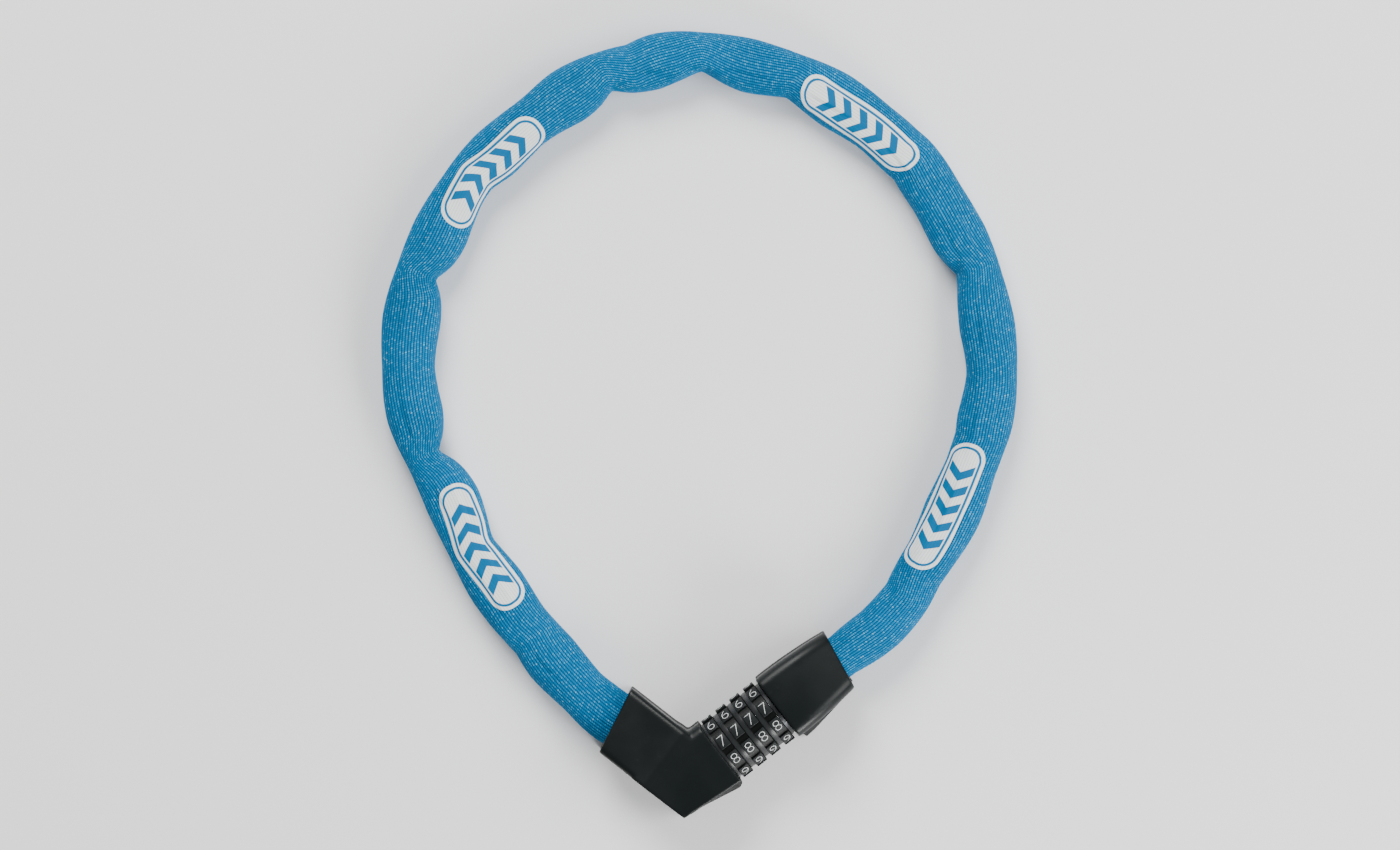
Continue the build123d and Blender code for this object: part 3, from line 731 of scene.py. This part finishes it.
        even = np.arange(self.around) / self.around * run[-1]
        x, z = np.interp(even, run, loop_x), np.interp(even, run, loop_z)
        rib = np.abs(np.sin(math.pi * np.arange(self.around) / self.per_rib)) if inset == 0 else 0.0
        away = np.stack([x, z - (high + low) / 2], axis=1)
        away /= np.linalg.norm(away, axis=1)[:, None] + 1e-9
        x = x + away[:, 0] * self.rib_height * (rib - 1.0)
        z = np.maximum(z + away[:, 1] * self.rib_height * (rib - 1.0), self.table_gap)
        side = np.array([heading[1], -heading[0]])
        return np.stack([middle[0] + side[0] * x, middle[1] + side[1] * x, z], axis=1)

    def creased(self, q: float, x: np.ndarray, z: np.ndarray, widths: tuple[float, float],
                s: np.ndarray) -> np.ndarray:
        """Press a slanted valley with a raised lip into the upper face beside each fold.

        Args:
            q: place along the chain.
            x: the ring's distances from the middle line, across.
            z: the ring's heights.
            widths: half widths towards the inside and the outside of the loop.
            s: from 1 on top of the ring to -1 below it.

        Returns:
            The new heights.
        """
        upper = np.clip(s, 0.0, 1.0)
        for fold in self.folds:
            reach = x * fold.side.value / widths[fold.side is Side.OUTER]
            toward = np.clip((reach - self.crease_start) / self.crease_ramp, 0.0, 1.0)
            toward = toward * toward * (3 - 2 * toward)
            off = q - fold.link - fold.slant * (1.0 - reach)
            valley = np.exp(-(off / self.valley_width) ** 2)
            lip = np.exp(-((off - math.copysign(self.lip_place, fold.slant)) / self.lip_width) ** 2)
            z = z + upper * toward * fold.depth * (self.lip_share * lip - self.valley_share * valley)
        soft = self.crumple * np.sin(3.1 * q + 0.9 * x / 3.0) * np.sin(1.7 * q - x / 4.0) * self.loose(q)
        return z + upper * soft

    def piece(self, number: int, first: int, last: int) -> bpy.types.Object:
        """One stretch of the hose, with both walls, closed rims and a cloth map in mm.

        Args:
            number: number in its name.
            first: its first ring.
            last: its last ring.

        Returns:
            The object.
        """
        rings, m = last - first + 1, self.around
        verts = np.concatenate([self.outer[first:last + 1].reshape(-1, 3),
                                self.inner[first:last + 1].reshape(-1, 3)]) * MM
        i, j = (grid.ravel() for grid in np.meshgrid(np.arange(rings - 1), np.arange(m), indexing="ij"))
        k, total = (j + 1) % m, rings * m
        a, b, c, d = i * m + j, i * m + k, (i + 1) * m + k, (i + 1) * m + j
        ring, after = np.arange(m), (np.arange(m) + 1) % m
        tip = (rings - 1) * m
        faces = np.concatenate([
            np.stack([a, d, c, b], axis=1), np.stack([a, b, c, d], axis=1) + total,
            np.stack([ring, after, after + total, ring + total], axis=1),
            np.stack([tip + ring, tip + ring + total, tip + after + total, tip + after], axis=1)])
        mesh = bpy.data.meshes.new(f"sleeve_stretch_{number}")
        mesh.from_pydata(verts.tolist(), [], faces.tolist())
        cloth_mm = RIB_PITCH / self.per_rib
        along = self.places[first:last + 1] * self.route.pitch
        wall_u = np.stack([j, j, j + 1, j + 1], axis=1) * cloth_mm
        wall_v = np.stack([along[i], along[i + 1], along[i + 1], along[i]], axis=1)
        back_u = np.stack([j, j + 1, j + 1, j], axis=1) * cloth_mm
        back_v = np.stack([along[i], along[i], along[i + 1], along[i + 1]], axis=1)
        rim = np.stack([ring, ring + 1, ring + 1, ring], axis=1) * cloth_mm
        u = np.concatenate([wall_u, back_u, rim, rim])
        v = np.concatenate([wall_v, back_v, np.full_like(rim, along[0]), np.full_like(rim, along[-1])])
        layer = mesh.uv_layers.new(name="UVMap")
        layer.data.foreach_set("uv", np.stack([u.ravel(), v.ravel()], axis=1).ravel().astype(np.float32))
        smooth_mesh(mesh, 75.0)
        mesh.materials.append(SLEEVE_BLUE.material())
        return add_object(mesh.name, mesh)

    def build(self) -> None:
        """Make the stretches, one across each bend of the chain."""
        edges = [0] + [int(np.argmin(np.abs(self.places - c))) for c in self.cuts] + [len(self.places) - 1]
        for n, (first, last) in enumerate(zip(edges, edges[1:])):
            piece = self.piece(n + 1, first, last)
            nodes = [f"sleeve_{n}"] + (["sleeve_5"] if n == 4 else [])
            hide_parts(*nodes)
            ahead = Vector(self.route.heading(np.array([float(self.hinge_links[n])]))[0])
            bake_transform(piece)

    def face_point(self, q: float, across: float, lift: float) -> np.ndarray:
        """Point of the upper face.

        Args:
            q: place along the chain.
            across: way along the cloth from its top towards the loop's inside.
            lift: height above the cloth.

        Returns:
            The point.
        """
        place = float(np.interp(q, self.places, np.arange(len(self.places))))
        i = min(int(place), len(self.places) - 2)
        ring = self.outer[i] * (1 - place + i) + self.outer[i + 1] * (place - i)
        spacing = np.linalg.norm(np.roll(ring, -1, axis=0) - ring, axis=1).mean()
        index = self.around / 2 - across / spacing
        j = int(math.floor(index))
        part = index - j
        point = ring[j % self.around] * (1 - part) + ring[(j + 1) % self.around] * part
        middle = ring.mean(axis=0)
        away = (point - middle) / np.linalg.norm(point - middle)
        return point + away * lift


@dataclass
class Patch:
    """White woven patch that follows the sleeve's upper face; link and inward place its middle."""

    sleeve: Sleeve
    number: int
    link: float
    inward: float
    body: str
    length: float = PATCH_WHITE.length
    width: float = PATCH_WHITE.width
    corner: float = PATCH_WHITE.corner
    rows: int = 72
    columns: int = 32
    lift: float = 0.16
    thickness: float = 0.35
    end_half_width: float = 0.3

    def half_width(self, along: float) -> float:
        """Half width of the round-cornered outline at a distance from its middle."""
        into = abs(along) - (self.length / 2 - self.corner)
        if into <= 0:
            return self.width / 2
        return self.width / 2 - self.corner + math.sqrt(max(self.corner ** 2 - into ** 2, 0.0))

    def build(self) -> None:
        """Lay the patch on the cloth and let it ride with the chain below it."""
        tops, backs, plan = [], [], []
        for r in range(self.rows + 1):
            along = -math.cos(math.pi * r / self.rows) * self.length / 2
            half = max(self.half_width(along), self.end_half_width)
            for c in range(self.columns + 1):
                across = half * (2 * c / self.columns - 1)
                q = self.link + along / self.sleeve.route.pitch
                tops.append(self.sleeve.face_point(q, self.inward + across, self.lift))
                backs.append(self.sleeve.face_point(q, self.inward + across, self.lift - self.thickness))
                plan.append((across, along))
        self.make_object(np.array(tops), np.array(backs), np.array(plan))

    def make_object(self, tops: np.ndarray, backs: np.ndarray, plan: np.ndarray) -> None:
        """Args:
            tops: points of the upper face, in mm.
            backs: points of the lower face, in mm.
            plan: places of those points on the flat patch, in mm.
        """
        wide, total = self.columns + 1, len(tops)
        faces = []
        for r in range(self.rows):
            for c in range(self.columns):
                a, b, d, e = r * wide + c, r * wide + c + 1, (r + 1) * wide + c, (r + 1) * wide + c + 1
                faces += [(a, b, e, d), (a + total, d + total, e + total, b + total)]
        far = self.rows * wide
        edge = [*range(wide), *range(2 * wide - 1, far + wide, wide)]
        edge += [*range(far + wide - 2, far - 1, -1), *range(far - wide, 0, -wide)]
        faces += [(b, a, a + total, b + total) for a, b in zip(edge, edge[1:] + edge[:1])]
        mesh = closed_mesh(f"woven_patch_{self.number}", np.concatenate([tops, backs]), faces)
        cloth = np.concatenate([plan, plan])
        for name in ("UVMap", "Plan"):
            layer = mesh.uv_layers.new(name=name)
            for loop in mesh.loops:
                layer.data[loop.index].uv = cloth[loop.vertex_index]
        smooth_mesh(mesh, 60.0)
        mesh.materials.append(PATCH_WHITE.material())
        piece = add_object(mesh.name, mesh)
        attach(piece, self.body)
        log.info("%s on %s", piece.name, self.body)


# ---- dials --------------------------------------------------------------------------------------
def ring_of_pads_tree() -> bpy.types.NodeTree:
    """Geometry tree that repeats the incoming mesh round the X axis and puts the ring in its place."""
    tree = bpy.data.node_groups.new("RingOfPads", "GeometryNodeTree")
    for name, kind in (("Geometry", "Geometry"), ("Count", "Int"), ("First Turn", "Float"), ("Place", "Vector"),
                       ("Heading", "Float"), ("Finish", "Material")):
        tree.interface.new_socket(name=name, in_out="INPUT", socket_type=f"NodeSocket{kind}")
    tree.interface.new_socket(name="Geometry", in_out="OUTPUT", socket_type="NodeSocketGeometry")
    t = Tree(tree)
    source = t.node("NodeGroupInput").outputs
    points = t.node("GeometryNodePoints", {"Count": source["Count"]})
    step = t.math("DIVIDE", 2 * math.pi, source["Count"])
    turn = t.math("MULTIPLY", t.node("GeometryNodeInputIndex").outputs[0], step)
    turn = t.math("ADD", turn, source["First Turn"])
    ring = t.node("GeometryNodeInstanceOnPoints", {
        "Points": points.outputs[0], "Instance": source["Geometry"], "Rotation": t.join(X=turn)})
    real = t.node("GeometryNodeRealizeInstances", {0: ring.outputs[0]})
    moved = t.node("GeometryNodeTransform", {
        "Geometry": real.outputs[0], "Translation": source["Place"], "Rotation": t.join(Z=source["Heading"])})
    dressed = t.node("GeometryNodeSetMaterial", {"Geometry": moved.outputs[0], "Material": source["Finish"]})
    t.node("NodeGroupOutput", {0: dressed.outputs[0]})
    return tree


@dataclass
class NumberDial:
    """One dial: ten number pads round a core, a smooth rim and ten painted digits; sizes in mm."""

    number: int
    pad_length: float = 4.4
    rim_length: float = 2.2
    rim_radius: float = 12.2
    bore: float = 9.6
    notch_depth: float = 0.9
    pad_half_angle: float = 12.4
    first_pad: float = -14.5
    first_digit: int = 7
    digit_height: float = 4.0
    digit_stretch: float = 1.16
    thinning: float = -0.036
    pad_thickness: float = 1.3
    pad_rounding: float = 0.28
    rim_rounding: float = 0.35
    rim_break: float = 0.1
    floor_rounding: float = 0.15
    paint: float = 0.16
    paint_sink: float = 0.08
    wrap_step: float = 0.36

    def __post_init__(self) -> None:
        """Take the dial's middle and its pad radius from the frame."""
        self.middle = Vector(DIAL_JOINTS[self.number - 1]["pos_m"])
        low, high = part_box(f"number_dial_{self.number}")
        self.pad_radius = round((high.z - low.z) / 2 / MM, 1)

    def local_to_row(self) -> Matrix:
        """Matrix from the dial's own axes, in mm, to the row frame."""
        turn = Matrix.Rotation(math.atan2(AXIS.y, AXIS.x), 4, "Z")
        return Matrix.Translation(self.middle) @ turn @ Matrix.Scale(MM, 4)

    def pad_mesh(self) -> bpy.types.Mesh:
        """One pad, curved round the X axis, with rounded edges, in metres."""
        shape = bmesh.new()
        half, steps, floor = self.pad_length / 2, 12, self.pad_radius - self.pad_thickness
        rows = []
        for n in range(steps + 1):
            angle = math.radians(self.pad_half_angle) * (2 * n / steps - 1)
            row = [shape.verts.new(Vector((x, r * math.sin(angle), r * math.cos(angle))) * MM)
                   for x, r in ((-half, floor), (half, floor), (half, self.pad_radius), (-half, self.pad_radius))]
            rows.append(row)
        for one, two in zip(rows, rows[1:]):
            for k in range(4):
                shape.faces.new((one[k], two[k], two[(k + 1) % 4], one[(k + 1) % 4]))
        shape.faces.new(rows[0])
        shape.faces.new(rows[-1][::-1])
        bmesh.ops.recalc_face_normals(shape, faces=shape.faces[:])
        sharp = [e for e in shape.edges if e.calc_face_angle(0.0) > math.radians(50)]
        bmesh.ops.bevel(shape, geom=sharp, offset=self.pad_rounding * MM, segments=3, profile=0.5, affect="EDGES")
        return mesh_of(shape, "pad")

    def ring_of_pads(self, tree: bpy.types.NodeTree) -> bpy.types.Mesh:
        """Ten pads in place, as a plain mesh."""
        piece = add_object(f"pads_{self.number}", self.pad_mesh())
        modifier = piece.modifiers.new("ring", "NODES")
        modifier.node_group = tree
        values = {"Count": 10, "First Turn": math.radians(self.first_pad), "Place": self.middle,
                  "Heading": math.atan2(AXIS.y, AXIS.x), "Finish": PAD_BLACK.material()}
        for item in tree.interface.items_tree:
            if item.in_out == "INPUT" and item.name in values:
                modifier[item.identifier] = values[item.name]
        mesh = bake_modifiers(piece)
        bpy.data.objects.remove(piece)
        return mesh

    def core_mesh(self) -> bpy.types.Mesh:
        """Core between the pads and the smooth rim beside them, turned round the axis."""
        half, rim, floor = self.pad_length / 2, self.rim_radius, self.pad_radius - self.notch_depth
        back, far, near, low = -half - self.rim_length, self.rim_rounding, self.rim_break, self.floor_rounding
        profile = [(back, self.bore), (back, rim - far), (back + near, rim - near), (back + far, rim),
                   (-half, rim), (-half, floor), (half - low, floor), (half, floor - low), (half, self.bore)]
        shape, segments = bmesh.new(), 120
        rings = [[shape.verts.new((x, r * math.sin(a), r * math.cos(a))) for x, r in profile]
                 for a in (2 * math.pi * n / segments for n in range(segments))]
        for n, ring in enumerate(rings):
            after = rings[(n + 1) % segments]
            for k in range(len(profile)):
                m = (k + 1) % len(profile)
                shape.faces.new((ring[k], ring[m], after[m], after[k]))
        bmesh.ops.recalc_face_normals(shape, faces=shape.faces[:])
        bmesh.ops.transform(shape, matrix=self.local_to_row(), verts=shape.verts[:])
        return mesh_of(shape, "core")

    def digit_mesh(self, digit: int, angle: float) -> bpy.types.Mesh:
        """A painted digit, wrapped on its pad, upright with the lock axis to the right.

        Args:
            digit: the digit.
            angle: its pad's turn round the axis, in radians.

        Returns:
            The mesh, in the row frame.
        """
        text = bpy.data.curves.new("digit", "FONT")
        text.body, text.size, text.extrude = str(digit), 1.0, 0.0
        text.resolution_u, text.offset = 4, self.thinning
        holder = add_object("digit", text)
        flat = evaluated_mesh(holder)
        bpy.data.objects.remove(holder)
        shape = bmesh.new()
        shape.from_mesh(flat)
        ys, xs = [v.co.y for v in shape.verts], [v.co.x for v in shape.verts]
        tall, mid_x, mid_y = max(ys) - min(ys), (max(xs) + min(xs)) / 2, (max(ys) + min(ys)) / 2
        for v in shape.verts:
            v.co.x = (v.co.x - mid_x) / tall * self.digit_height * self.digit_stretch
            v.co.y = (v.co.y - mid_y) / tall * self.digit_height
        for n in range(-5, 6):
            everything = shape.verts[:] + shape.edges[:] + shape.faces[:]
            bmesh.ops.bisect_plane(shape, geom=everything, plane_co=(0, n * self.wrap_step, 0),
                                   plane_no=(0, 1, 0))
        skin = bmesh.ops.extrude_face_region(shape, geom=shape.faces[:])["geom"]
        for v in (g for g in skin if isinstance(g, bmesh.types.BMVert)):
            v.co.z = self.paint
        bmesh.ops.recalc_face_normals(shape, faces=shape.faces[:])
        for v in shape.verts:
            radius, turn = self.pad_radius - self.paint_sink + v.co.z, angle - v.co.y / self.pad_radius
            v.co = Vector((v.co.x, -radius * math.sin(turn), radius * math.cos(turn)))
        bmesh.ops.transform(shape, matrix=self.local_to_row(), verts=shape.verts[:])
        return mesh_of(shape, "digit")

    def is_notch_floor(self, face: bmesh.types.BMFace) -> bool:
        """Whether a face of the core lies under the pads."""
        along = (face.calc_center_median() - self.middle).dot(AXIS) / MM
        return abs(along) < self.pad_length / 2 + 0.01

    def build(self, tree: bpy.types.NodeTree) -> None:
        """Make the dial and its digits and let both ride on their body."""
        body = f"dial_{self.number}"
        whole = bmesh.new()
        whole.from_mesh(self.ring_of_pads(tree))
        for face in whole.faces:
            face.material_index = 0
        pad_faces = len(whole.faces)
        whole.from_mesh(self.core_mesh())
        whole.faces.ensure_lookup_table()
        for face in whole.faces[pad_faces:]:
            # notch floors between the pads take the darkest black: painted shade
            face.material_index = 2 if self.is_notch_floor(face) else 1
        mesh = mesh_of(whole, f"dial_shell_{self.number}")
        for finish in (PAD_BLACK, RIM_BLACK, PAINTED_SHADE_BLACK):
            mesh.materials.append(finish.material())
        smooth_mesh(mesh, 35.0)
        shell = add_object(mesh.name, mesh)
        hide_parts(f"number_dial_{self.number}")
        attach(shell, body)
        digits = bmesh.new()
        for n in range(10):
            angle = math.radians(self.first_pad + 36.0 * n)
            digits.from_mesh(self.digit_mesh((self.first_digit + n) % 10, angle))
        mesh = mesh_of(digits, f"dial_digits_{self.number}")
        mesh.materials.append(DIGIT_WHITE.material())
        painted = add_object(mesh.name, mesh)
        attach(painted, body)
        log.info("%s and %s on %s", shell.name, painted.name, body)


# ---- housings -----------------------------------------------------------------------------------
@dataclass
class HousingCover:
    """One moulded half of a housing: the frame's cover with softly rounded edges; sizes in mm."""

    node: str
    body: str
    grid: float = 0.4
    rounds: int = 14

    def build(self) -> None:
        """Round the cover's edges, dress it and let it ride on its body."""
        shape = bmesh.new()
        shape.from_mesh(frame["nodes"][self.node].data)
        bmesh.ops.remove_doubles(shape, verts=shape.verts[:], dist=0.001 * MM)
        mesh = mesh_of(shape, f"moulded_{self.node}")
        piece = add_object(mesh.name, mesh)
        remesh = piece.modifiers.new("grid", "REMESH")
        remesh.mode, remesh.voxel_size = "VOXEL", self.grid * MM
        soften = piece.modifiers.new("soften", "SMOOTH")
        soften.factor, soften.iterations = 0.5, self.rounds
        mesh = bake_modifiers(piece)
        mesh.materials.clear()
        # bottom covers take the darker copy: painted shade on the keel and underside
        mesh.materials.append((UNDERSIDE_SHADE_BLACK if self.node.endswith("bottom") else HOUSING_BLACK).material())
        mesh.shade_smooth()
        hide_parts(self.node)
        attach(piece, self.body)
        log.info("%s on %s, %d faces", piece.name, self.body, len(mesh.polygons))


@dataclass
class MouthShadeLiner:
    """Dark ring of painted shade that closes the plug's mouth round the narrowed end of the sleeve.

    Its start and end are in links, and its growth is in mm.
    """

    sleeve: Sleeve
    start: float = 36.56
    end: float = 36.70
    grow_across: float = 1.8
    grow_up: float = 0.35

    def build(self) -> None:
        """Make the ring between the sleeve's face and the walls of the mouth."""
        loops = []
        for place, outward in ((self.start, True), (self.end, True), (self.end, False), (self.start, False)):
            ring = self.sleeve.outer[int(np.argmin(np.abs(self.sleeve.places - place)))]
            middle = ring.mean(axis=0)
            away = ring - middle
            level = np.linalg.norm(away[:, :2], axis=1)[:, None]
            grown = ring.copy()
            if outward:
                grown[:, :2] += away[:, :2] * self.grow_across / level.max()
                grown[:, 2] += away[:, 2] * self.grow_up / np.abs(away[:, 2]).max()
            loops.append(grown)
        count = len(loops[0])
        faces = [(a * count + j, a * count + (j + 1) % count, b * count + (j + 1) % count, b * count + j)
                 for a, b in ((0, 1), (1, 2), (2, 3), (3, 0)) for j in range(count)]
        mesh = closed_mesh("plug_mouth_shade_liner", np.concatenate(loops), faces)
        smooth_mesh(mesh)
        # painted shade: the ring takes the darkest black where the mouth's end wall lies in shade
        mesh.materials.append(PAINTED_SHADE_BLACK.material())
        piece = add_object(mesh.name, mesh)
        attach(piece, "plug")


# ---- carried-over pieces ------------------------------------------------------------------------
class CarriedPieces:
    """CAD nodes that keep their shape and get their finish by material slot."""

    def build(self) -> None:
        """Dress every CAD node."""
        slots = {p["node"]: p["material_slot"] for p in frame["record"]["subparts"]}
        for name, node in frame["nodes"].items():
            finish = (BLACKED_STEEL if name in BLACKED_NODES else NODE_FINISHES[slots[name]]).material()
            if not node.material_slots:
                node.data.materials.append(finish)
            for material_slot in node.material_slots:
                material_slot.material = finish
            log.info("%s dressed in %s", name, finish.name)


# ---- studio -------------------------------------------------------------------------------------
@dataclass
class Studio:
    """Pale floor, soft lights and the camera straight above the loop; sizes in metres."""

    camera_height: float = 2.0
    view_width: float = 0.5334
    object_height: float = 0.012
    floor_size: float = 6.0
    lamps: tuple = (("key", (-0.5, 1.5, 1.3), 1.2, 58.0), ("fill", (1.5, -0.1, 1.2), 1.3, 26.0),
                    ("strip", (0.9, -1.2, 0.6), 0.7, 28.0))     # name, place, size, watts
    world_strength: float = 0.34

    def build(self) -> None:
        """Make the floor, the lights, the world and the camera."""
        mesh = bpy.data.meshes.new("floor")
        h = self.floor_size / 2
        mesh.from_pydata([(-h, -h, 0), (h, -h, 0), (h, h, 0), (-h, h, 0)], [], [(0, 1, 2, 3)])
        mesh.materials.append(FLOOR.material())
        add_object("floor", mesh)
        for name, place, size, power in self.lamps:
            lamp = bpy.data.lights.new(name, "AREA")
            lamp.shape, lamp.size, lamp.energy = "DISK", size, power
            holder = bpy.data.objects.new(name, lamp)
            holder.location = place
            holder.rotation_euler = (-Vector(place)).to_track_quat("-Z", "Y").to_euler()
            bpy.context.scene.collection.objects.link(holder)
        world = bpy.data.worlds.new("studio")
        world.use_nodes = True
        background = world.node_tree.nodes["Background"]
        background.inputs[0].default_value = (1.0, 1.0, 1.0, 1.0)
        background.inputs[1].default_value = self.world_strength
        bpy.context.scene.world = world
        data = bpy.data.cameras.new("camera")
        data.lens = data.sensor_width * (self.camera_height - self.object_height) / self.view_width
        camera = bpy.data.objects.new("camera", data)
        camera.location = (0.0, 0.0, self.camera_height)
        bpy.context.scene.collection.objects.link(camera)
        bpy.context.scene.camera = camera


def main() -> None:
    """Build the scene, the largest pieces first."""
    logging.basicConfig(level=logging.INFO, format="%(name)s: %(message)s")
    Studio().build()
    sleeve = Sleeve(Route())
    sleeve.build()
    for number, (link, inward) in enumerate(((5.35, 2.0), (14.2, 3.6), (23.2, 2.6), (32.5, 3.6)), start=1):
        Patch(sleeve, number, link, inward, f"chain_{number}").build()
    MouthShadeLiner(sleeve).build()
    for body in ("lock", "plug"):
        for half in ("top", "bottom"):
            HousingCover(f"{body}_cover_{half}", "lock_body" if body == "lock" else body).build()
    pads = ring_of_pads_tree()
    for k in range(1, 5):
        NumberDial(k).build(pads)
    CarriedPieces().build()


if __name__ == "__main__":
    main()
